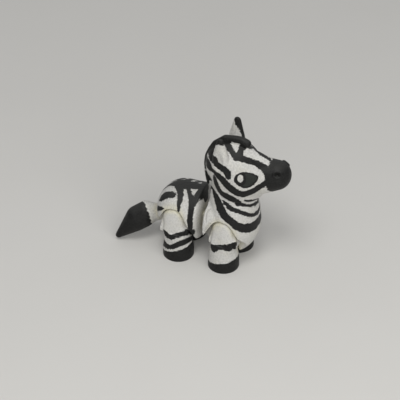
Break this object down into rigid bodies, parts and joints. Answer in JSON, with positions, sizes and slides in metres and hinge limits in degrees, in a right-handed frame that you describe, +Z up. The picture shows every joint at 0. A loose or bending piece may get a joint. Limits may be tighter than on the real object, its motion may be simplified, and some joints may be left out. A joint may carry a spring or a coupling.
{
  "type": "articulated zebra figurine",
  "caption": "Small printed toy zebra with a big head, upright ears, round-topped legs set in arches, a jointed waist and a drooping wedge tail.",
  "frame": {"origin": "bottom centre of the figure's bounding box, on the plane of the four soles", "axes": "+X the way the head and chest look, +Y the figure's left side, +Z up"},
  "size_m": [0.0582, 0.0228, 0.0507],
  "materials": {
    "printed_white": "matte, white with black printed areas",
    "printed_tail": "matte, white root and black tuft"
  },
  "bodies": {
    "root": {"front_body": "printed_white", "rear_body": "printed_white", "front_leg_right": "printed_white", "front_leg_left": "printed_white", "hind_leg_right": "printed_white", "hind_leg_left": "printed_white", "tail": "printed_tail"}
  },
  "joints": []
}
